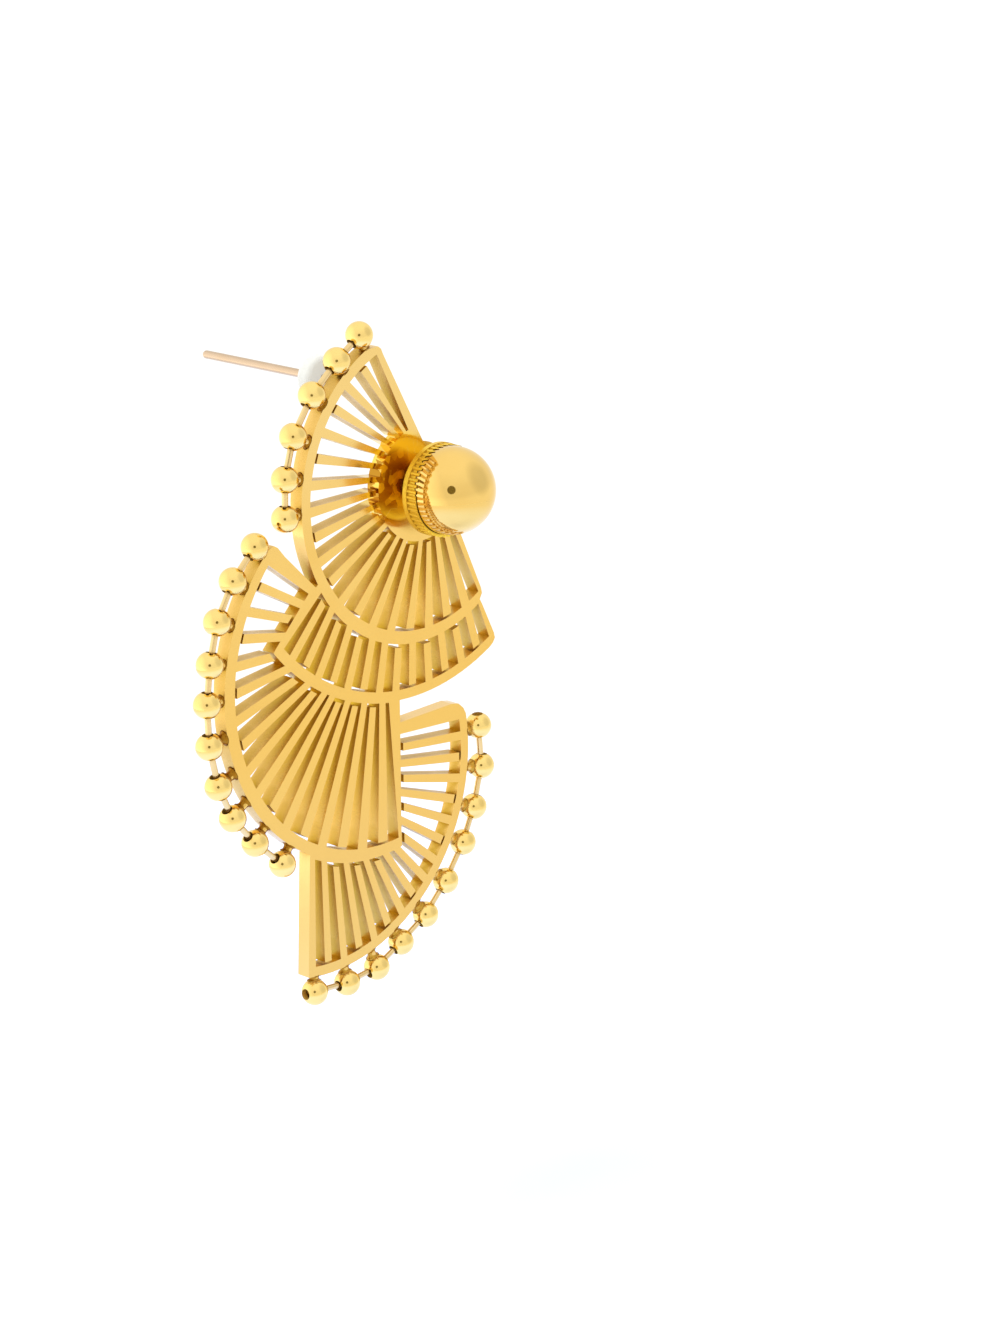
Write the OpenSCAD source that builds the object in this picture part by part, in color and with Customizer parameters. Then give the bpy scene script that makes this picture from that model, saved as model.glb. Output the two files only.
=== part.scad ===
// Fan earring, worn on the left ear: one flat pierced plate of three fans that
// spread round a hub, a bead edge on each fan, a polished ball in a milled collar,
// and an ear post with its stopper on the back.
// Millimetres. Front toward -Y, up is +Z. Origin: on the back face of the plate,
// where the axis of the ear post meets it.

/* [Plate] */
// thickness of the pierced plate
plate_t = 1.5; // [1.3:0.1:1.8]
// gap at the free inner end of a rib
end_gap = 0.35; // [0.3:0.05:0.45]
// gap at the free outer end of a rib
rim_gap = 0.24; // [0.2:0.02:0.3]
// radius of the round hub at the top of the plate
hub_r = 4.0; // [4:0.1:4.2]
// where the slots of the top fan start, from the hub
slot_start_r = 5.6; // [5.4:0.1:5.8]

/* [Top fan] */
// inner edge of the rim
top_rim_r = 14.25; // [14.1:0.05:14.4]
// width of the rim
top_rim_w = 1.1; // [0.9:0.1:1.3]
// width of the first rib at the rim
top_rib_out = 0.9; // [0.8:0.05:1]
// width of the last rib at the rim
top_rib_last = 1.15; // [1:0.05:1.2]
// width of a rib where its sides run on into the hub
top_rib_in = 0.23; // [0.2:0.01:0.26]

/* [Skirt of the top fan] */
// width of the metal between the slots of the top fan and those of the skirt
skirt_in_w = 0.7; // [0.6:0.05:0.85]
// outer ends of the skirt slots
skirt_rim_r = 21.7; // [21.5:0.1:21.8]
// rib width at the rim
skirt_rib_out = 0.95; // [0.8:0.05:1.1]
// rib width at the inner end
skirt_rib_in = 0.8; // [0.7:0.05:0.9]

/* [Middle fan] */
// inner edge of the rim
mid_rim_r = 18.3; // [18.1:0.05:18.4]
// width of the rim, between arcs that are not quite concentric
mid_rim_w = 0.6; // [0.5:0.05:0.7]
// width of the first rib at the rim
mid_rib_out = 0.85; // [0.8:0.05:1]
// width of the last rib at the rim
mid_rib_last = 1.3; // [1.1:0.05:1.4]
// rib width at the inner end
mid_rib_in = 0.72; // [0.6:0.04:0.8]

/* [Bottom fan] */
// inner edge of the rim
low_rim_r = 17.54; // [17.4:0.05:17.6]
// width of the rim
low_rim_w = 1.0; // [0.9:0.1:1.2]
// rib width at the rim
low_rib_out = 0.88; // [0.8:0.04:1]
// rib width at the inner end
low_rib_in = 0.72; // [0.6:0.04:0.8]

/* [Beads] */
// diameter of an edge bead
bead_d = 2.6; // [2.4:0.05:2.7]
// diameter of the wire through the beads
wire_d = 0.6; // [0.5:0.02:0.6]
// diameter of the flat round joint where the wire turns inside each bead
head_d = 1.2; // [1.15:0.05:1.3]
// thickness of that joint
head_t = 0.9; // [0.75:0.05:0.95]
// diameter of the hole through a bead
hole_d = 1.06; // [1.06:0.02:1.1]
// depth of the bead centres behind the front of the plate
bead_back = 0.3; // [0.2:0.05:0.4]
// diameter of the solder peg behind each bead
peg_d = 0.8; // [0.6:0.05:0.9]
// depth of the peg's centre line behind the front of the plate
peg_back = 0.5; // [0.48:0.02:0.6]

/* [Ball and collar] */
// diameter of the polished ball
ball_d = 8.4; // [8:0.1:8.6]
// clearance between the ball and what holds it
ball_clear = 0.06; // [0.04:0.01:0.1]
// outer diameter of the milled collar
collar_d = 8.9; // [8.9:0.05:9.1]
// from the front of the plate to the back of the collar's smooth ring
collar_back = 2.2; // [2:0.05:2.3]
// width of the smooth ring behind the milled band
ring_w = 0.5; // [0.4:0.05:0.8]
// from the front of the plate to the front of the milled band
collar_front = 3.85; // [3.7:0.05:4]
// wall of the cup under the milled band
cup_wall = 0.3; // [0.25:0.05:0.4]
// teeth round the milled band
teeth = 48; // [44:4:56]
// depth of a tooth
tooth_h = 0.12; // [0.08:0.01:0.12]

/* [Ear post] */
// diameter of the post
post_d = 0.8; // [0.7:0.02:0.84]
// length of the post behind the plate
post_len = 17.8; // [16:0.2:19]
// diameter of the stopper
stopper_d = 4.2; // [3.8:0.1:4.6]
// length of the stopper
stopper_len = 1.6; // [1.4:0.1:2]
// from the plate to the front of the stopper
stopper_at = 1.2; // [0.8:0.1:6]
// rounding of the stopper's edges
stopper_round = 0.5; // [0.3:0.05:0.6]
// clearance between the post and the stopper
stopper_clear = 0.03; // [0.02:0.01:0.05]

/* [Hidden] */
$fn = 64;
// clearance where a piece is held against another without touching it
seat_gap = 0.04;
// how far a peg reaches into the rim, and a rib into its rim
peg_root = 0.5;
rib_root = 0.5;
// width of the skirt's rim, and of the solid metal round the skirt and the middle fan
skirt_rim_w = 1.0;
skirt_land = 0.08;
mid_land = 0.3;
// how far two joined bodies reach into each other
overlap = 0.1;
// how far the tips of the teeth lie inside the smooth ring
ring_step = 0.05;
// space left round the joint inside a bead
bead_room = 0.2;
// where a link starts, as a part of the joint's diameter from the bead centre
link_start = 0.28;

// hub centre in the frame of the part, and from there the axes of ball and collar
hub_at = [9.0, -11.9];
ball_at = [-0.45, 0.05];
collar_at = [-0.42, -0.12];

// centres of the arcs, from the hub centre
top_c = [-0.2, 0];
skirt_in_c = [-0.47, -0.5];
skirt_c = [-1.79, 2.1];
mid_c = [-7.25, -15.73];
mid_edge_c = [-7.95, -15.9];
low_c = [-14.96, -26.07];

top_edge_r = top_rim_r + top_rim_w;
low_edge_r = low_rim_r + low_rim_w;
mid_edge_r = mid_rim_r + mid_rim_w;
skirt_in_r = top_rim_r + skirt_in_w;
skirt_edge_r = skirt_rim_r + skirt_rim_w;
skirt_guard_r = skirt_edge_r + skirt_land;
mid_guard_r = mid_edge_r + mid_land;

// one row per fan: centre of the rim arc, its radius, angle of the first slot,
// angle of the last slot, how far the middle slots bow from even spacing,
// number of slots, point the middle rib aims at, how that point drifts and bends
// along the row, width of the first rib at the rim, of the last, of a rib at its
// inner end, and the distance of that end from the point it aims at
top_fan = [top_c, top_rim_r, 111.6, 294.1, -0.9, 19, [-1.04, -0.64], [2.91, -6.04],
    [4.87, 10.66], top_rib_out, top_rib_last, top_rib_in, -1];
skirt_fan = [skirt_c, skirt_rim_r, -141.4, -67.1, -1.4, 14, [-1.57, 3.91], [4.29, 2.06],
    [0.95, -5.05], skirt_rib_out, skirt_rib_out, skirt_rib_in, 12];
mid_fan = [mid_c, mid_rim_r, 137.2, 269.6, -1.2, 17, [-7.85, -11.62], [0.91, 2.02],
    [4.02, -3.2], mid_rib_out, mid_rib_last, mid_rib_in, 6];
low_fan = [low_c, low_rim_r, 2.1, -99.8, -0.6, 16, [-12.2, -28.42], [-0.98, -2.17],
    [-15.17, 17.93], low_rib_out, low_rib_out, low_rib_in, 6.8];

// how each rib in turn is held: h at the inner end only, r at the rim only, s both
top_ribs = "hrhrhsrhrhrhsrhrhr";
skirt_ribs = "rhrhrhsrhrhrh";
mid_ribs = "hrhrhrhrshrhrhrh";
low_ribs = "rhrhrhrshrhrhrh";

// sides of the plate with their rounded corners, as points from the hub centre
top_side = [[-6.6, top_rim_r + 0.35], [-5.6, top_rim_r], [-4.42, top_rim_r],
    [-4.06, top_rim_r - 0.3], [-3.87, top_rim_r - 0.85],
    [0.7, 3.3], [4.55, -6.5], [6.71, -12.4], [6.8, -12.94], [6.45, -13.5], [6.2, -17.6]];
skirt_side = [[5.6, -12.8], [6.4, -13.4], [6.7, -14.03], [8.05, -17.41], [8.14, -17.96],
    [7.82, -18.38], [7.09, -18.85], [6.0, -20]];
notch = [-14.6, -6.3];
mid_side = [[-5.0, -17.5], [-5.12, -20.6], [-5.42, -24.4], [-6.1, -32.4], [-6.85, -43.2]];
mid_top = [[-17.99, -2.4], [-18.74, -1.35], [-19.19, -1.05], [-19.65, -1.2], [-20.6, -1.6]];
low_top = [[-6.5, -22.5], [-5.3, -22.58], [1.71, -22.85], [2.6, -23.1], [3.2, -23.7],
    [3.6, -24.6], [6, -27]];
low_side = [[-18.05, -31.5], [-19.7, -44.9]];
skirt_left = [[-14.94, -6.2], [-24.0, -14.24]];

// one row per bead: its angle, and the gap between the fan's edge and the bead
top_gaps = [[111.5, 0.25], [123.4, 0.1], [137.5, 0.45], [151.5, 0.75], [164.6, 0.7], [176.8, 0.5]];
mid_gaps = [[131, 0.05], [141.7, 0.5], [152.7, 0.65], [163.6, 0.5], [173.8, 0.55], [184.8, 0.7],
    [196.2, 0.85], [206.5, 0.9], [217.6, 0.6], [229.8, 0.55]];
low_gaps = [[-0.6, 0.46], [-12.3, 0.96], [-23.7, 0.81], [-33.9, 0.76], [-45.5, 0.71],
    [-56.5, 0.76], [-67.4, 0.56], [-77.7, 0.86], [-88.8, 0.55], [-100.8, 0.31]];
// the same as angle and distance from the centre of the fan's edge
top_beads = beads_at(top_gaps, top_edge_r);
mid_beads = beads_at(mid_gaps, mid_edge_r);
low_beads = beads_at(low_gaps, low_edge_r);

gold = [0.93, 0.74, 0.36];
bright = [0.97, 0.80, 0.42];
milled = [0.90, 0.66, 0.22];
clear = [0.93, 0.93, 0.92];

function polar(c, r, a) = [c[0] + r * cos(a), c[1] + r * sin(a)];
function unit(v) = v / norm(v);
function left_of(v) = [-v[1], v[0]];
function along(f, i) = (i - 1) / (f[5] - 1) - 0.5;
function slot_angle(f, i) = let (u = along(f, i))
    f[2] + (f[3] - f[2]) * (u + 0.5) + f[4] * (1 - 4 * u * u);
function rib_rim(f, j) = polar(f[0], f[1] + rib_root, slot_angle(f, j + 0.5));
function rib_aim(f, j) = let (u = along(f, j + 0.5)) f[6] + u * f[7] + u * u * f[8];
function rib_dir(f, j) = unit(rib_rim(f, j) - rib_aim(f, j));
function rib_w(f, j) = f[9] + (f[10] - f[9]) * (along(f, j + 0.5) + 0.5);
// point on the side of rib j: end 0 is the rim, end 1 the inner end
function rib_side(f, j, end, side) =
    (end == 0 ? rib_rim(f, j) : rib_aim(f, j) + rib_dir(f, j) * f[12])
    + left_of(rib_dir(f, j)) * side * (end == 0 ? rib_w(f, j) : f[11]) / 2;
function turn(f) = f[3] > f[2] ? 1 : -1;
function beads_at(rows, edge_r) = [for (row = rows) [row[0], edge_r + row[1] + bead_d / 2]];
function bead_xz(c, row) = polar(c, row[1], row[0]);

module rib(f, j)
    polygon([rib_side(f, j, 0, 1), rib_side(f, j, 0, -1), rib_side(f, j, 1, -1),
        rib_side(f, j, 1, 1)]);

// everything between the first and the last slot of a fan, out to the rim
module sweep_area(f)
    intersection() {
        translate(f[0])
            circle(r = f[1]);
        polygon(concat(
            [rib_side(f, 0, 1, turn(f)), rib_side(f, 0, 0, turn(f)),
             rib_side(f, 0, 0, turn(f)) + 3 * rib_dir(f, 0)],
            [for (k = [1 : 4]) polar(f[0], f[1] * 1.6,
                slot_angle(f, 1) + (slot_angle(f, f[5]) - slot_angle(f, 1)) * k / 5)],
            [rib_side(f, f[5], 0, -turn(f)) + 3 * rib_dir(f, f[5]),
             rib_side(f, f[5], 0, -turn(f)), rib_side(f, f[5], 1, -turn(f))]));
    }

module ribs_of_kind(f, kinds, kind)
    for (j = [1 : f[5] - 1])
        if (kinds[j - 1] == kind)
            rib(f, j);

// ribs of a fan whose slots stop at the shape that is passed as the child;
// child 0 is that shape, child 1 the same shape grown by the end gap
module slots(f, kinds)
    difference() {
        sweep_area(f);
        children(0);
        ribs_of_kind(f, kinds, "s");
        intersection() {
            ribs_of_kind(f, kinds, "h");
            translate(f[0])
                circle(r = f[1] - rim_gap);
        }
        difference() {
            ribs_of_kind(f, kinds, "r");
            children(1);
        }
    }

// what bounds the slots of the middle fan: the skirt of the top fan, grown by g
module skirt_guard(g)
    intersection() {
        translate(skirt_c)
            circle(r = skirt_guard_r + g);
        polygon([skirt_left[0] + [8, 7.1] + [-0.66, 0.75] * g, skirt_left[1] + [-0.66, 0.75] * g,
            [-24, -30], [10, -30], [10, 5]]);
    }

// what bounds the slots of the bottom fan: the middle fan, grown by g
module mid_guard(g)
    intersection() {
        translate(mid_edge_c)
            circle(r = mid_guard_r + g);
        polygon([[-40, -12], for (p = mid_side) p + [g, 0], [-40, -45]]);
    }

module top_slots()
    slots(top_fan, top_ribs) {
        translate(top_c)
            circle(r = slot_start_r);
        translate(top_c)
            circle(r = slot_start_r + end_gap);
    }

module skirt_slots()
    slots(skirt_fan, skirt_ribs) {
        translate(skirt_in_c)
            circle(r = skirt_in_r);
        translate(skirt_in_c)
            circle(r = skirt_in_r + end_gap);
    }

module mid_slots()
    slots(mid_fan, mid_ribs) {
        skirt_guard(0);
        skirt_guard(end_gap);
    }

module low_slots()
    slots(low_fan, low_ribs) {
        mid_guard(0);
        mid_guard(end_gap);
    }

module outline() {
    translate(ball_at)
        circle(r = hub_r);
    intersection() {
        translate(top_c)
            circle(r = top_edge_r);
        polygon(concat(top_side, [[6, -25], [-25, -25], [-25, 25]]));
    }
    intersection() {
        translate(skirt_c)
            circle(r = skirt_edge_r);
        polygon(concat(skirt_side, [[6, -25], [-19, -25], skirt_left[1] + [2, 3], [-14, -6], [0, 0]]));
    }
    intersection() {
        translate(mid_edge_c)
            circle(r = mid_edge_r);
        polygon(concat([notch], mid_top, [[-40, -6], [-40, -45]],
            [for (i = [len(mid_side) - 1 : -1 : 0]) mid_side[i]]));
    }
    intersection() {
        translate(low_c)
            circle(r = low_edge_r);
        polygon(concat(low_top, [[6, -50], low_side[1] + [0, -5], low_side[1], low_side[0], mid_c]));
    }
}

// places a shape drawn from the hub centre into the frame of the part
module at_hub(y = 0)
    translate([hub_at[0], y, hub_at[1]])
        children();

module upright(t)
    rotate([90, 0, 0])
        linear_extrude(height = t)
            children();

module solder_pegs(c, edge_r, rows)
    for (row = rows)
        translate([c[0], -plate_t + peg_back, c[1]])
            rotate([0, 90 - row[0], 0])
                translate([0, 0, edge_r - peg_root])
                    cylinder(d = peg_d, h = row[1] - edge_r + peg_root - bead_d / 2 - seat_gap);

module fan_plate()
    color(gold)
        at_hub() {
            upright(plate_t)
                difference() {
                    outline();
                    top_slots();
                    skirt_slots();
                    mid_slots();
                    low_slots();
                }
            solder_pegs(top_c, top_edge_r, top_beads);
            solder_pegs(mid_edge_c, mid_edge_r, mid_beads);
            solder_pegs(low_c, low_edge_r, low_beads);
        }

// centre of bead i of a row of beads, carried on past both ends
function bead_at(c, rows, i) =
    i < 1 ? 2 * bead_xz(c, rows[0]) - bead_xz(c, rows[1])
    : i > len(rows) ? 2 * bead_xz(c, rows[i - 2]) - bead_xz(c, rows[i - 3])
    : bead_xz(c, rows[i - 1]);

module at_bead(c, rows, i)
    translate([bead_at(c, rows, i)[0], 0, bead_at(c, rows, i)[1]])
        children();

// a straight round bar from near the centre of bead i toward bead k
module link_bar(c, rows, i, k, d, h)
    at_bead(c, rows, i)
        rotate([0, atan2(bead_at(c, rows, k)[0] - bead_at(c, rows, i)[0],
            bead_at(c, rows, k)[1] - bead_at(c, rows, i)[1]), 0])
            translate([0, 0, head_d * link_start])
                cylinder(d = d, h = h);

// a hollow ball drilled along the row
module bead(c, rows, i)
    color(bright)
        at_hub(-plate_t + bead_back)
            at_bead(c, rows, i)
                rotate([0, atan2(bead_at(c, rows, i + 1)[0] - bead_at(c, rows, i - 1)[0],
                    bead_at(c, rows, i + 1)[1] - bead_at(c, rows, i - 1)[1]), 0])
                    difference() {
                        sphere(d = bead_d);
                        sphere(d = head_d + 2 * bead_room);
                        translate([0, 0, -bead_d])
                            cylinder(d = hole_d, h = 2 * bead_d);
                    }

// one length of wire that turns at a flat round joint inside each bead
module wire(c, rows)
    color(gold)
        at_hub(-plate_t + bead_back) {
            for (i = [1 : len(rows)])
                at_bead(c, rows, i)
                    rotate([90, 0, 0])
                        cylinder(d = head_d, h = head_t, center = true);
            for (i = [1 : len(rows) - 1])
                link_bar(c, rows, i, i + 1, wire_d,
                    norm(bead_at(c, rows, i + 1) - bead_at(c, rows, i)) - 2 * head_d * link_start);
        }

ball_y = -plate_t - ball_d / 2 - ball_clear;

module ball()
    color(bright)
        at_hub(ball_y)
            translate([ball_at[0], 0, ball_at[1]])
                sphere(d = ball_d);

// outline of the milled band: teeth of equal pitch, each a small flat-topped ridge
function tooth_ring(r, h, n) =
    [for (k = [0 : n - 1]) for (s = [0 : 3])
        let (a = 360 / n * (k + [0, 0.18, 0.5, 0.68][s]), q = s == 1 || s == 2 ? r : r - h)
            [q * cos(a), q * sin(a)]];

module milled_collar()
    color(milled)
        at_hub()
            difference() {
                union() {
                    translate([collar_at[0], -plate_t - collar_back, collar_at[1]])
                        upright(ring_w)
                            circle(d = collar_d);
                    translate([collar_at[0], -plate_t - collar_back - ring_w + overlap, collar_at[1]])
                        upright(collar_front - collar_back - ring_w + overlap)
                            polygon(tooth_ring(collar_d / 2 - ring_step, tooth_h, teeth));
                    intersection() {
                        translate([ball_at[0], ball_y, ball_at[1]])
                            sphere(d = ball_d + 2 * (ball_clear + cup_wall));
                        translate([ball_at[0], -plate_t - seat_gap, ball_at[1]])
                            upright(collar_back + overlap)
                                circle(d = collar_d);
                    }
                }
                translate([ball_at[0], ball_y, ball_at[1]])
                    sphere(d = ball_d + 2 * ball_clear);
            }

module ear_post()
    color(gold)
        translate([0, seat_gap, 0])
            rotate([-90, 0, 0]) {
                cylinder(d = post_d, h = post_len - post_d / 2);
                translate([0, 0, post_len - post_d / 2])
                    sphere(d = post_d);
            }

module post_stopper()
    color(clear)
        translate([0, stopper_at, 0])
            rotate([-90, 0, 0])
                rotate_extrude()
                    difference() {
                        union() {
                            translate([0, stopper_round])
                                square([stopper_d / 2, stopper_len - 2 * stopper_round]);
                            square([stopper_d / 2 - stopper_round, stopper_len]);
                            for (z = [stopper_round, stopper_len - stopper_round])
                                translate([stopper_d / 2 - stopper_round, z])
                                    circle(r = stopper_round);
                        }
                        translate([-1, -1])
                            square([1 + post_d / 2 + stopper_clear, stopper_len + 2]);
                    }

module top_bead(i)
    bead(top_c, top_beads, i);

module middle_bead(i)
    bead(mid_edge_c, mid_beads, i);

module bottom_bead(i)
    bead(low_c, low_beads, i);

module top_wire()
    wire(top_c, top_beads);

module middle_wire()
    wire(mid_edge_c, mid_beads);

module bottom_wire()
    wire(low_c, low_beads);

fan_plate();
ball();
milled_collar();
ear_post();
post_stopper();
top_wire();
middle_wire();
bottom_wire();
top_bead(1);  // top_bead_1
top_bead(2);  // top_bead_2
top_bead(3);  // top_bead_3
top_bead(4);  // top_bead_4
top_bead(5);  // top_bead_5
top_bead(6);  // top_bead_6
middle_bead(1);  // middle_bead_1
middle_bead(2);  // middle_bead_2
middle_bead(3);  // middle_bead_3
middle_bead(4);  // middle_bead_4
middle_bead(5);  // middle_bead_5
middle_bead(6);  // middle_bead_6
middle_bead(7);  // middle_bead_7
middle_bead(8);  // middle_bead_8
middle_bead(9);  // middle_bead_9
middle_bead(10);  // middle_bead_10
bottom_bead(1);  // bottom_bead_1
bottom_bead(2);  // bottom_bead_2
bottom_bead(3);  // bottom_bead_3
bottom_bead(4);  // bottom_bead_4
bottom_bead(5);  // bottom_bead_5
bottom_bead(6);  // bottom_bead_6
bottom_bead(7);  // bottom_bead_7
bottom_bead(8);  // bottom_bead_8
bottom_bead(9);  // bottom_bead_9
bottom_bead(10);  // bottom_bead_10
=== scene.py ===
"""Looks of the fan earring: gold finishes, solder, a pale studio and the camera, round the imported
solids. Metres. Front toward -Y, up is +Z, and the origin is where the ear post meets the back of
the plate."""
import math
import random

import bpy
from mathutils import Matrix, Vector


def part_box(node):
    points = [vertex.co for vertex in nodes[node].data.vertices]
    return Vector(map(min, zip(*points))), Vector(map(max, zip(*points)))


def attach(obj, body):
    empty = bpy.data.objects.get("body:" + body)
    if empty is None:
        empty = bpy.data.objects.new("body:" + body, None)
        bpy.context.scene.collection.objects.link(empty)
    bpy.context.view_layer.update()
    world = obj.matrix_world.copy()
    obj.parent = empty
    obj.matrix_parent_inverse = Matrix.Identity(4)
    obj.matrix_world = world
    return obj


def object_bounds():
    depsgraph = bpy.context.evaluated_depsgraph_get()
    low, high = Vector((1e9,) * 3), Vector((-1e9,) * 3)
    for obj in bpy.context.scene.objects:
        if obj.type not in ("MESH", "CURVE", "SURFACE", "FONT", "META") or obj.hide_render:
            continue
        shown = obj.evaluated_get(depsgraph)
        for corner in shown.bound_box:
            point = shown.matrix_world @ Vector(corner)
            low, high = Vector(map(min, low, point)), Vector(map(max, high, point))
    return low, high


MM = 0.001
BODY = "root"

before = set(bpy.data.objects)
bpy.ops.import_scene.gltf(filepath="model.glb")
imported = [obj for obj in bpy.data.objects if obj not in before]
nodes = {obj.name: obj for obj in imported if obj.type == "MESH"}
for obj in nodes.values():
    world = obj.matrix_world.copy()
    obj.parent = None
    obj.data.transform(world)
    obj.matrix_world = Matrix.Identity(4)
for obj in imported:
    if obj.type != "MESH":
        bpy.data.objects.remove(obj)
cad_box = [list(corner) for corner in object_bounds()]
random.seed(11)

PLATE_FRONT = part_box("fan_plate")[0][1]
BALL_LOW, BALL_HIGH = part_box("ball")
BALL_CENTRE = (Vector(BALL_LOW) + Vector(BALL_HIGH)) / 2
LOWEST = cad_box[0][2]


# Values that all the gold finishes share. Scales are in cells per metre.

NOISE_BAND = (0.3, 0.7)             # the part of a noise's range that is used
CLOUD_SCALE = 260                   # the slow change of colour
CLOUD_TONE = (0.97, 0.94, 0.86)
WALL_SHEEN = (1.03, 1.03, 1.25)      # painted sheen: the plate's slot walls and edges paler and bluer than its faces
CORNER_OPEN = 0.15                  # the openness at which a corner fully takes the dark colour: painted shade, on the plate painted bounce light
METAL_OPEN = 0.3                    # and at which it is least metallic
MARK_STRETCH = (900, 900, 5200)     # the polishing marks
MARK_GLOSS = 0.02
MARK_HEIGHT = 0.04
PATCH_SCALE = 420                   # the slow change of gloss
PATCH_ROUGHER = 1.3
DULL_IN_SLOTS = 0.25
RIPPLE_SCALE = 350
RIPPLE_STRENGTH = 0.3

# Painted reflection on the hub left of the ball: a brighter orange mirror patch, with dark painted
# reflection in irregular cells in it

HUB_CENTRE = BALL_CENTRE + Vector((-2.6, 0, 1.3)) * MM
HUB_R = 4.0 * MM
HUB_EDGE = 0.6 * MM
# painted reflection: the brighter orange of the hub's mirror patch
HUB_REFLECTION = (0.90, 0.62, 0.12)
HUB_GLOSS = 0.4
# where and in what colour the hub shows dark painted reflection in cells
DARK_REFLECTION_CENTRE = BALL_CENTRE + Vector((-3.5, 0, 1.2)) * MM
DARK_REFLECTION_R = 2.4 * MM
DARK_REFLECTION_EDGE = 0.9 * MM
HUB_DARK_REFLECTION = (0.46, 0.22, 0.02)
FACET_SCALE = 1500
FACET_STRETCH = (1, 0.4, 1)
FACET_BAND = (0.15, 0.6)
FACET_HEIGHT = 6.0


# How far a face turns toward the front (-1) or the back (1) as a colour fades in or out

ON_FRONT = (-0.5, -0.9)
OFF_BACK = (0.7, 0.4)
ON_SIDES = (0.5, 0.3)


# Node helpers

def times(colour, factors):
    """A colour with each of its channels multiplied."""
    return tuple(c * k for c, k in zip(colour, factors))


class Nodes:
    """A node tree under construction."""

    def __init__(self, tree):
        self.tree = tree

    def node(self, kind, **settings):
        made = self.tree.nodes.new(kind)
        for key, value in settings.items():
            setattr(made, key, value)
        return made

    def link(self, output, socket):
        self.tree.links.new(output, socket)

    def ranged(self, value, low, high, to_low, to_high):
        made = self.node("ShaderNodeMapRange")
        limits = {"From Min": low, "From Max": high, "To Min": to_low, "To Max": to_high}
        for key, number in limits.items():
            made.inputs[key].default_value = number
        self.link(value, made.inputs["Value"])
        return made.outputs["Result"]

    def math(self, operation, a, b):
        made = self.node("ShaderNodeMath", operation=operation)
        for socket, value in zip(made.inputs, (a, b)):
            if isinstance(value, (int, float)):
                socket.default_value = value
            else:
                self.link(value, socket)
        return made.outputs["Value"]

    def vector_math(self, operation, vector, other=None):
        """A number made from a vector, and for some operations from a fixed one too."""
        made = self.node("ShaderNodeVectorMath", operation=operation)
        self.link(vector, made.inputs[0])
        if other:
            made.inputs[1].default_value = other
        return made.outputs["Value"]

    def part(self, vector, axis):
        """The X, Y or Z of a vector."""
        made = self.node("ShaderNodeSeparateXYZ")
        self.link(vector, made.inputs["Vector"])
        return made.outputs[axis]


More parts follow.
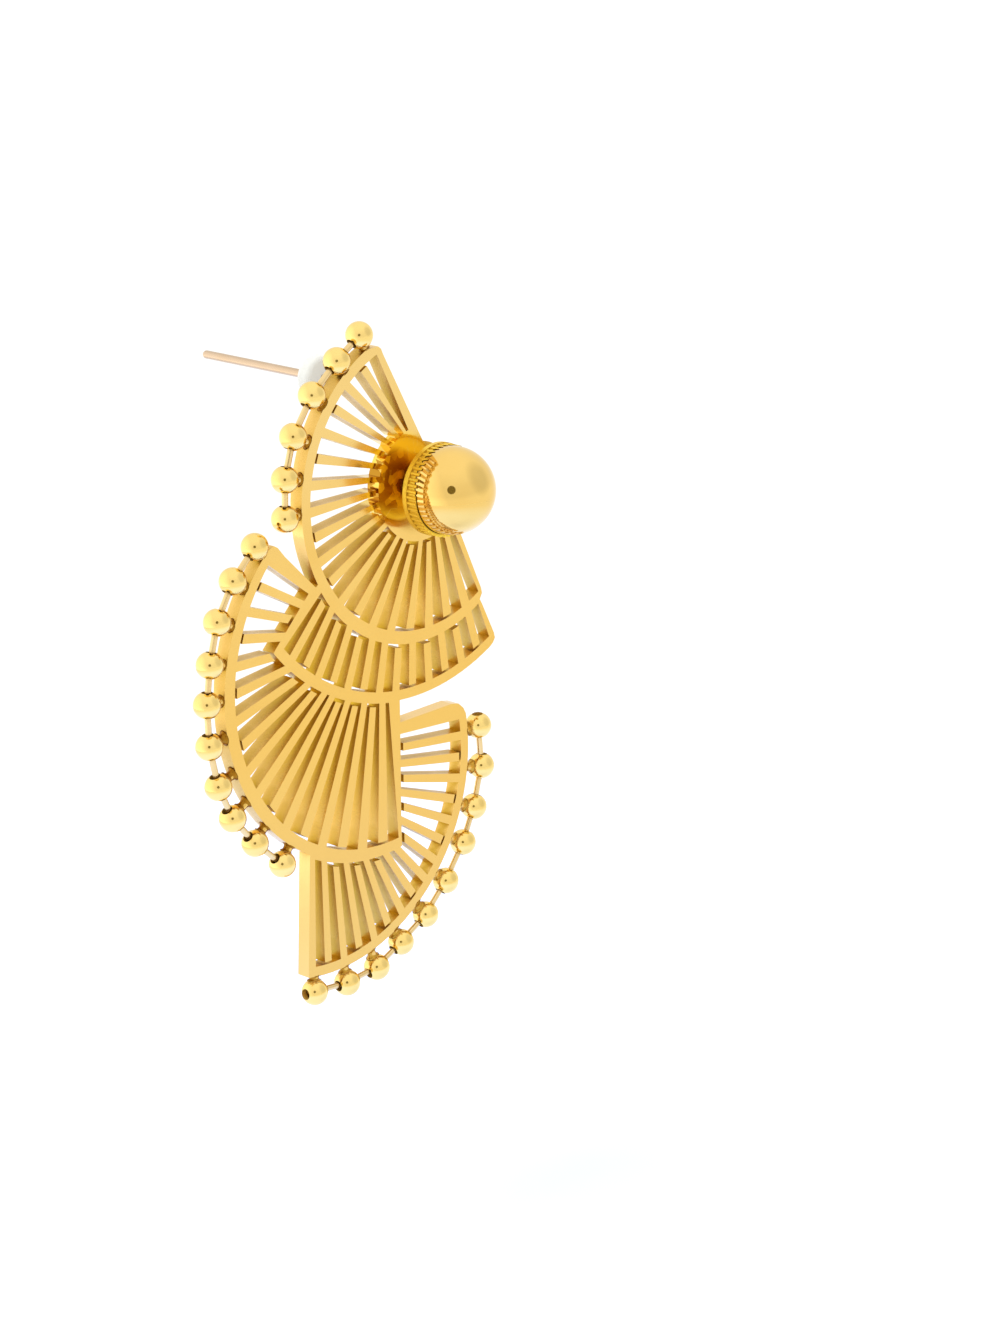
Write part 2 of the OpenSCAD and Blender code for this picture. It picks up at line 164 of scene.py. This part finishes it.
class Finish(Nodes):
    """A material under construction: its shader, and the object's own coordinates and normals."""

    def __init__(self, name):
        self.material = bpy.data.materials.new(name)
        self.material.use_nodes = True
        super().__init__(self.material.node_tree)
        self.shader = self.tree.nodes["Principled BSDF"]
        source = self.node("ShaderNodeTexCoord")
        self.coords = source.outputs["Object"]
        self.normals = source.outputs["Normal"]

    def set(self, **values):
        """Fixed values of the shader. Each name is its socket's, with _ for a space."""
        for key, value in values.items():
            self.shader.inputs[key.replace("_", " ")].default_value = value

    def stretched(self, scale):
        mapping = self.node("ShaderNodeMapping")
        mapping.inputs["Scale"].default_value = scale
        self.link(self.coords, mapping.inputs["Vector"])
        return mapping.outputs["Vector"]

    def noise(self, scale, detail, vector=None):
        made = self.node("ShaderNodeTexNoise")
        made.inputs["Scale"].default_value = scale
        made.inputs["Detail"].default_value = detail
        self.link(vector or self.coords, made.inputs["Vector"])
        return made.outputs["Fac"]

    def mixed(self, factor, first, second):
        made = self.node("ShaderNodeMix", data_type="RGBA")
        self.link(factor, made.inputs["Factor"])
        for key, value in (("A", first), ("B", second)):
            socket = [s for s in made.inputs if s.name == key and s.type == "RGBA"][0]
            if isinstance(value, tuple):
                socket.default_value = (*value, 1)
            else:
                self.link(value, socket)
        return [s for s in made.outputs if s.type == "RGBA"][0]

    def openness(self, distance):
        """How open the surface is to the air round it: 0 deep in a slot, 1 on a free face."""
        made = self.node("ShaderNodeAmbientOcclusion", samples=8)
        made.inputs["Distance"].default_value = distance
        return made.outputs["AO"]

    def near(self, centre, inner, outer):
        """1 within the inner radius of a point seen from the front, falling to 0 at the outer one.
        0 on faces toward the back."""
        away = self.vector_math("DISTANCE", self.stretched((1, 0, 1)), (centre.x, 0, centre.z))
        ahead = self.ranged(self.part(self.normals, "Y"), *OFF_BACK, 0.0, 1.0)
        return self.math("MULTIPLY", self.ranged(away, inner, outer, 1.0, 0.0), ahead)

    def front_between(self, start, end):
        """On faces toward the front: 0 up to the first height, 1 past the second. 0 elsewhere."""
        front = self.ranged(self.part(self.normals, "Y"), *ON_FRONT, 0.0, 1.0)
        past = self.ranged(self.part(self.coords, "Z"), start, end, 0.0, 1.0)
        return self.math("MULTIPLY", past, front)

    def sideways(self):
        """1 on faces that look to a side, up or down, 0 on those toward the front or the back."""
        lean = self.math("ABSOLUTE", self.part(self.normals, "Y"), 0.0)
        return self.ranged(lean, *ON_SIDES, 0.0, 1.0)

    def facets(self):
        """Irregular flat cells, each with its own grey."""
        made = self.node("ShaderNodeTexVoronoi")
        made.inputs["Scale"].default_value = FACET_SCALE
        self.link(self.stretched(FACET_STRETCH), made.inputs["Vector"])
        return made.outputs["Color"]

    def dark_reflection_cells(self):
        """1 in the cells of the hub with the darkest painted reflection, 0 outside their spot."""
        spot = self.near(DARK_REFLECTION_CENTRE, DARK_REFLECTION_R, DARK_REFLECTION_R + DARK_REFLECTION_EDGE)
        return self.math("MULTIPLY", self.ranged(self.facets(), *FACET_BAND, 0.0, 1.0), spot)

    def bumped(self, height, depth, strength):
        made = self.node("ShaderNodeBump")
        made.inputs["Distance"].default_value = depth
        made.inputs["Strength"].default_value = strength
        self.link(height, made.inputs["Height"])
        self.link(made.outputs["Normal"], self.shader.inputs["Normal"])


def gold(name, unshaded, shaded, dark, rough, wave=0.004, reach=1.1, shade_from=0.45, shade_to=0.9,
         deep_metal=1.0, hub=False, reflection_tones=()):
    """Plated gold: its own colour on open faces, painted deeper in colour where the metal faces
    more metal, as painted shade, and duller there, with faint polishing marks and a slow change of
    colour and gloss.

    wave is the height of its ripples and reach how far it looks for other metal, both in mm. The
    painted shade is full at the openness shade_from and gone at shade_to. In the tightest corners
    it takes the dark colour: painted shade on most finishes and painted bounce light on the plate.
    There deep_metal says how metallic it is. hub adds the painted reflection on the hub by the
    foot of the ball. The tones are painted reflection along the height of front faces: the two
    heights between which the colour changes, in mm, and what it is multiplied by past the second.
    With tones, side faces also get a painted sheen."""
    f = Finish(name)
    f.set(Metallic=1.0)
    # painted shade: openness from ambient occlusion chooses where slots and corners are painted
    # deeper in colour
    open_air = f.openness(reach * MM)
    depth = f.ranged(open_air, shade_from, shade_to, 0.0, 1.0)
    # no painted shade on the hub's mirror patch, which gets painted reflection instead
    if hub:
        mirror = f.near(HUB_CENTRE, HUB_R, HUB_R + HUB_EDGE)
        depth = f.math("MAXIMUM", depth, mirror)

    cloud = f.ranged(f.noise(CLOUD_SCALE, detail=4.0), *NOISE_BAND, 0.0, 1.0)
    tint_and_reflections = f.mixed(cloud, unshaded, times(unshaded, CLOUD_TONE))
    # painted sheen: the plate's side faces paler and bluer than its front
    if reflection_tones:
        tint_and_reflections = f.mixed(f.sideways(), tint_and_reflections, times(unshaded, WALL_SHEEN))
    # painted reflection along the height of front faces
    for start, end, tone in reflection_tones:
        past = f.front_between(start * MM, end * MM)
        tint_and_reflections = f.mixed(past, tint_and_reflections, times(unshaded, tone))
    # painted reflection on the hub: brighter orange in the mirror patch, darker in its cells
    if hub:
        tint_and_reflections = f.mixed(f.dark_reflection_cells(), f.mixed(mirror, tint_and_reflections, HUB_REFLECTION), HUB_DARK_REFLECTION)
    # painted shade in slots, and the dark colour in the tightest corners
    corners = f.ranged(open_air, CORNER_OPEN, shade_from, 0.0, 1.0)
    inner = f.mixed(corners, dark, shaded)
    f.link(f.mixed(depth, inner, tint_and_reflections), f.shader.inputs["Base Color"])
    if deep_metal < 1.0:
        metal = f.ranged(open_air, METAL_OPEN, shade_to, deep_metal, 1.0)
        f.link(metal, f.shader.inputs["Metallic"])

    marks = f.noise(1.0, detail=2.0, vector=f.stretched(MARK_STRETCH))
    patches = f.noise(PATCH_SCALE, detail=3.0)
    patches = f.ranged(patches, *NOISE_BAND, rough, rough * PATCH_ROUGHER)
    gloss = f.math("ADD", f.ranged(marks, *NOISE_BAND, -MARK_GLOSS, MARK_GLOSS), patches)
    dulled = f.math("MULTIPLY", f.math("SUBTRACT", 1.0, depth), DULL_IN_SLOTS)
    gloss = f.math("ADD", gloss, dulled)
    if hub:
        gloss = f.math("MULTIPLY", gloss, f.ranged(mirror, 0.0, 1.0, 1.0, HUB_GLOSS))
    f.link(gloss, f.shader.inputs["Roughness"])

    ripples = f.noise(RIPPLE_SCALE, detail=1.0)
    height = f.math("ADD", ripples, f.math("MULTIPLY", marks, MARK_HEIGHT))
    if hub:
        cells = f.math("MULTIPLY", f.math("MULTIPLY", f.facets(), mirror), FACET_HEIGHT)
        height = f.math("ADD", height, cells)
    f.bumped(height, wave * MM, RIPPLE_STRENGTH)
    return f.material


def silicone(name):
    """Soft clear stopper: milky, with a faint bloom on its surface and a painted glow that lightens
    its shaded side.
    """
    f = Finish(name)
    f.set(Transmission_Weight=0.12, Emission_Color=(0.95, 0.95, 0.90, 1), Emission_Strength=0.5,
          IOR=1.35, Subsurface_Weight=0.4, Subsurface_Radius=(0.8 * MM, 0.8 * MM, 0.8 * MM),
          Subsurface_Scale=1.0)
    grain = 900
    cloud = f.noise(grain, detail=3.0)
    milk = f.mixed(cloud, (0.32, 0.32, 0.30), (0.28, 0.28, 0.26))
    f.link(milk, f.shader.inputs["Base Color"])
    f.link(f.ranged(cloud, *NOISE_BAND, 0.35, 0.5), f.shader.inputs["Roughness"])
    f.bumped(f.noise(grain, detail=1.0), depth=0.01 * MM, strength=0.1)
    return f.material


# Finishes

# Painted reflection on the plate's front faces: paler and bluer near the top, deeper orange further
# down.
PLATE_REFLECTION_TONES = (
    # from mm, to mm, multiplied by
    (-18, -30, (0.98, 0.92, 0.75)),
    (-36, -46, (0.95, 0.85, 0.67)),
    (-15, -5, (1.0, 1.05, 1.26)),
)
# On the plate the dark colour is brighter than the shaded one: painted bounce light deep in the
# slots.
PLATE = gold("plate_gold", unshaded=(0.87, 0.575, 0.167), shaded=(0.48, 0.265, 0.012),
             dark=(0.74, 0.48, 0.035), rough=0.13, reach=2.2, shade_from=0.42, shade_to=0.88,
             hub=True, reflection_tones=PLATE_REFLECTION_TONES)
BALL = gold("ball_gold", unshaded=(0.87, 0.59, 0.18), shaded=(0.80, 0.48, 0.10),
            dark=(0.40, 0.22, 0.04), rough=0.05, wave=0.001)
COLLAR = gold("collar_gold", unshaded=(0.93, 0.65, 0.07), shaded=(0.66, 0.40, 0.025),
              dark=(0.36, 0.18, 0.01), rough=0.34, reach=0.3, shade_from=0.55, shade_to=0.95,
              deep_metal=0.6)
BEAD = gold("bead_gold", unshaded=(0.94, 0.69, 0.24), shaded=(0.74, 0.45, 0.08),
            dark=(0.42, 0.25, 0.04), rough=0.10, wave=0.002, deep_metal=0.25)
WIRE = gold("wire_gold", unshaded=(0.84, 0.62, 0.30), shaded=(0.62, 0.38, 0.10),
            dark=(0.30, 0.16, 0.03), rough=0.16)
POST = gold("post_gold", unshaded=(0.63, 0.47, 0.33), shaded=(0.62, 0.45, 0.27),
            dark=(0.30, 0.2, 0.1), rough=0.16)
# Solder for the top and middle fans, darkened with painted shadow: its dark brown stands in for the
# shade between bead and rim.
SOLDER_AND_SHADOW = gold("solder_and_shadow", unshaded=(0.40, 0.18, 0.015), shaded=(0.24, 0.095, 0.006),
                   dark=(0.10, 0.04, 0.002), rough=0.25, wave=0.02)
SOLDER = gold("solder_gold", unshaded=(0.62, 0.35, 0.05), shaded=(0.36, 0.17, 0.014),
              dark=(0.16, 0.07, 0.004), rough=0.22, wave=0.02)
STOPPER = silicone("clear_silicone")

FINISHES = {"fan_plate": PLATE, "ball": BALL, "milled_collar": COLLAR, "ear_post": POST,
            "post_stopper": STOPPER}


def finish_of(node):
    return FINISHES.get(node) or (WIRE if node.endswith("_wire") else BEAD)


for name in nodes:
    materials = nodes[name].data.materials
    materials.clear()
    materials.append(finish_of(name))


def add(name, points, faces, material):
    """A mesh object with one material, linked to the scene."""
    mesh = bpy.data.meshes.new(name)
    mesh.from_pydata(points, [], faces)
    mesh.materials.append(material)
    made = bpy.data.objects.new(name, mesh)
    bpy.context.scene.collection.objects.link(made)
    return made


# Solder between each bead and its rim. Sizes in mm.

PEG_BACK = 0.5
HUB_AT = (9.0, -11.9)
FANS = {
    # name: (centre from the hub in x and z, radius of the rim's edge)
    "top": ((-0.2, 0.0), 15.35),
    "middle": ((-7.95, -15.9), 18.9),
    "bottom": ((-14.96, -26.07), 18.54),
}
IN_RIM = 0.12
IN_BEAD = 0.22
WAIST = (0.40, 0.52)
FLARE = 1.1             # how much wider the ends are than the waist, as a share of it
CLOSE_FROM = 0.86       # where the ends begin to round off, from 0 at the waist to 1 at the ends
CLOSE_OVER = 0.14
CLOSE_BY = 0.96
FLATNESS = 0.8
LUMPS = 0.16            # how uneven it is all along
END_LUMPS = 0.10        # and how much more toward the bead
FAN_SEED = 7


def lumps(rng, count=5):
    """A slow wobble round a circle, as a function of the angle."""
    waves = [(rng.uniform(-0.5, 0.5), k + 1, rng.uniform(0, 2 * math.pi)) for k in range(count)]
    return lambda a: sum(size / wave * math.sin(wave * a + phase) for size, wave, phase in waves)


def fillet(start, end, waist, rng, rings=11, sides=20):
    """A lumpy saddle of solder: wide where it wets the rim and the bead, narrow between them."""
    axis = (end - start).normalized()
    across = axis.cross(Vector((0, 1, 0))).normalized()
    points, faces = [], []
    # a third set of lumps is drawn and left unused, so that the later draws keep their order
    wobble, end_wobble, _ = [lumps(rng) for _ in range(3)]
    for i in range(rings):
        t = i / (rings - 1)
        from_waist = abs(2 * t - 1)
        flare = 1.0 + FLARE * from_waist ** 3
        past = max(0.0, from_waist - CLOSE_FROM) / CLOSE_OVER
        closing = math.sqrt(max(0.0, 1 - past * CLOSE_BY))
        for k in range(sides):
            a = 2 * math.pi * k / sides
            uneven = 1 + LUMPS * wobble(a) + END_LUMPS * t * end_wobble(a + 2 * t)
            r = waist * flare * closing * uneven
            deep = Vector((0, r * FLATNESS * math.sin(a), 0))
            points.append(start.lerp(end, t) + across * (r * math.cos(a)) + deep)
    for i in range(rings - 1):
        for k in range(sides):
            n = (k + 1) % sides
            low, high = i * sides, (i + 1) * sides
            faces.append((low + k, low + n, high + n, high + k))
    faces += [tuple(range(sides))[::-1], tuple(range((rings - 1) * sides, rings * sides))]
    return points, faces


def solder(fan):
    """One piece of solder for each bead of a fan, all in one object."""
    (cx, cz), edge = FANS[fan]
    centre = Vector(((HUB_AT[0] + cx) * MM, PLATE_FRONT + PEG_BACK * MM, (HUB_AT[1] + cz) * MM))
    rng = random.Random(len(fan) * FAN_SEED)
    points, faces = [], []
    for name in sorted(n for n in nodes if n.startswith(fan + "_bead_")):
        low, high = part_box(name)
        bead = (Vector(low) + Vector(high)) / 2
        out = Vector((bead.x - centre.x, 0, bead.z - centre.z))
        reach = out.length
        out.normalize()
        bead_r = (high[1] - low[1]) / 2
        start = centre + out * (edge - IN_RIM) * MM
        end = centre + out * (reach - bead_r + IN_BEAD * MM)
        some, made = fillet(start, end, rng.uniform(*WAIST) * MM, rng)
        faces += [tuple(len(points) + i for i in face) for face in made]
        points += some
    # the top and middle fans get the solder darkened with painted shadow
    made = add(fan + "_solder", points, faces, SOLDER if fan == "bottom" else SOLDER_AND_SHADOW)
    for face in made.data.polygons:
        face.use_smooth = True
    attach(made, BODY)


for fan in FANS:
    solder(fan)


# Studio

FLOOR_R = 0.16
FLOOR_Z = LOWEST - 22 * MM
FLOOR_COOL = (0.69, 0.78, 0.95)
FLOOR_WARM = (0.69, 0.70, 0.72)
FLOOR_GLOW = (0.0, 0.04, 0.36)
FLOOR_TURN = (0.10, 0.15)               # how far out it turns from cool to warm
TENT_LEVELS = (
    # share of the way up, level
    (0.0, 1.1),
    (0.40, 1.1),
    (0.49, 1.0),
    (0.68, 1.02),
    (0.95, 1.15),
)
TENT_BLUE = 0.985
# a direction, how far toward it the change begins and ends, and the level there
BRIGHT_BEHIND = {"toward": (-0.66, 0.69, -0.28), "begins": 0.2, "ends": 1.0, "level": 1.55}
DIM_IN_FRONT = {"toward": (0.68, -0.64, 0.35), "begins": 0.79, "ends": 0.95, "level": 0.82}


def disc(name, centre, normal, radius, material, sides=64):
    angles = [2 * math.pi * k / sides for k in range(sides)]
    ring = [Vector((radius * math.cos(a), radius * math.sin(a), 0)) for a in angles]
    turn = normal.to_track_quat("Z", "Y")
    made = add(name, [centre + turn @ p for p in ring], [list(range(sides))], material)
    return made


def floor_finish(name):
    """Cool and glowing a little under the part, warmer further out."""
    f = Finish(name)
    f.set(Emission_Strength=1.0, Roughness=0.9)
    spread = f.ranged(f.vector_math("LENGTH", f.coords), *FLOOR_TURN, 0.0, 1.0)
    f.link(f.mixed(spread, FLOOR_COOL, FLOOR_WARM), f.shader.inputs["Base Color"])
    f.link(f.mixed(spread, FLOOR_GLOW, (0.0, 0.0, 0.0)), f.shader.inputs["Emission Color"])
    return f.material


def lens_finish(name):
    """Nearly black, with a faint cloud."""
    f = Finish(name)
    f.set(Roughness=0.8)
    black = (0.17, 0.14, 0.05)
    cloudy = f.mixed(f.noise(3.0, detail=2.0), black, times(black, (0.99, 0.99, 0.99)))
    f.link(cloudy, f.shader.inputs["Base Color"])
    return f.material


def overhead_light(name, place, aim, size, power):
    data = bpy.data.lights.new(name, "AREA")
    data.shape = "DISK"
    data.size = size
    data.energy = power
    made = bpy.data.objects.new(name, data)
    made.location = place
    made.rotation_euler = (Vector(aim) - Vector(place)).to_track_quat("-Z", "Y").to_euler()
    made.visible_glossy = False
    bpy.context.scene.collection.objects.link(made)


def studio_world():
    """A white tent: brighter overhead and behind on the left, dimmer in front on the right."""
    world = bpy.data.worlds.new("studio")
    bpy.context.scene.world = world
    world.use_nodes = True
    n = Nodes(world.node_tree)
    background = n.tree.nodes["Background"]
    around = n.node("ShaderNodeTexCoord").outputs["Generated"]
    ramp = n.node("ShaderNodeValToRGB")
    n.link(n.ranged(n.part(around, "Z"), -1.0, 1.0, 0.0, 1.0), ramp.inputs["Fac"])
    n.link(ramp.outputs["Color"], background.inputs["Color"])
    changes = []
    for change in (BRIGHT_BEHIND, DIM_IN_FRONT):
        along = n.vector_math("DOT_PRODUCT", around, change["toward"])
        changes.append(n.ranged(along, change["begins"], change["ends"], 1.0, change["level"]))
    n.link(n.math("MULTIPLY", *changes), background.inputs["Strength"])
    bar = ramp.color_ramp
    while len(bar.elements) < len(TENT_LEVELS):
        bar.elements.new(0.5)
    for element, (at, level) in zip(bar.elements, TENT_LEVELS):
        element.position = at
        element.color = (level, level, level * TENT_BLUE, 1)


disc("floor", Vector((0, 0, FLOOR_Z)), Vector((0, 0, 1)), FLOOR_R, floor_finish("floor_white"))
overhead_light("top_light", place=(-0.25, 0.10, 0.75), aim=(0, 0, -0.03), size=0.7, power=5.0)
studio_world()


# Camera, at the photograph's angle

PHOTO_TALL = 1333
VIEW_AZIMUTH = 44.604
VIEW_ELEVATION = 19.741
VIEW_ROLL = -3.820
VIEW_DISTANCE = 353.71 * MM
VIEW_TARGET = Vector((17.566 * MM, PLATE_FRONT, -32.988 * MM))
FOCAL_PX = 3617.0
SENSOR_TALL = 36.0

az, el = math.radians(VIEW_AZIMUTH), math.radians(VIEW_ELEVATION)
toward_camera = Vector((-math.sin(az) * math.cos(el), -math.cos(az) * math.cos(el), math.sin(el)))
camera_data = bpy.data.cameras.new("camera")
camera_data.sensor_fit = "VERTICAL"
camera_data.sensor_height = SENSOR_TALL
camera_data.lens = FOCAL_PX / PHOTO_TALL * SENSOR_TALL
camera_data.clip_start = 0.01
camera = bpy.data.objects.new("camera", camera_data)
forward = -toward_camera
level_right = forward.cross(Vector((0, 0, 1))).normalized()
level_up = level_right.cross(forward)
roll = math.radians(VIEW_ROLL)
right = level_right * math.cos(roll) + level_up * math.sin(roll)
up = level_up * math.cos(roll) - level_right * math.sin(roll)
axes = Matrix((right, up, toward_camera)).transposed().to_4x4()
camera.matrix_world = Matrix.Translation(VIEW_TARGET + toward_camera * VIEW_DISTANCE) @ axes
bpy.context.scene.collection.objects.link(camera)
bpy.context.scene.camera = camera

# the dark front of the camera, which shows only as a spot in the round beads and the ball
LENS_R = 66 * MM
LENS_BEHIND = 12 * MM
lens = disc("camera_front", camera.matrix_world.translation + toward_camera * LENS_BEHIND,
            toward_camera, LENS_R, lens_finish("lens_black"))
lens.visible_camera = False
lens.visible_diffuse = False
lens.visible_shadow = False

bpy.context.scene.view_settings.view_transform = "Standard"
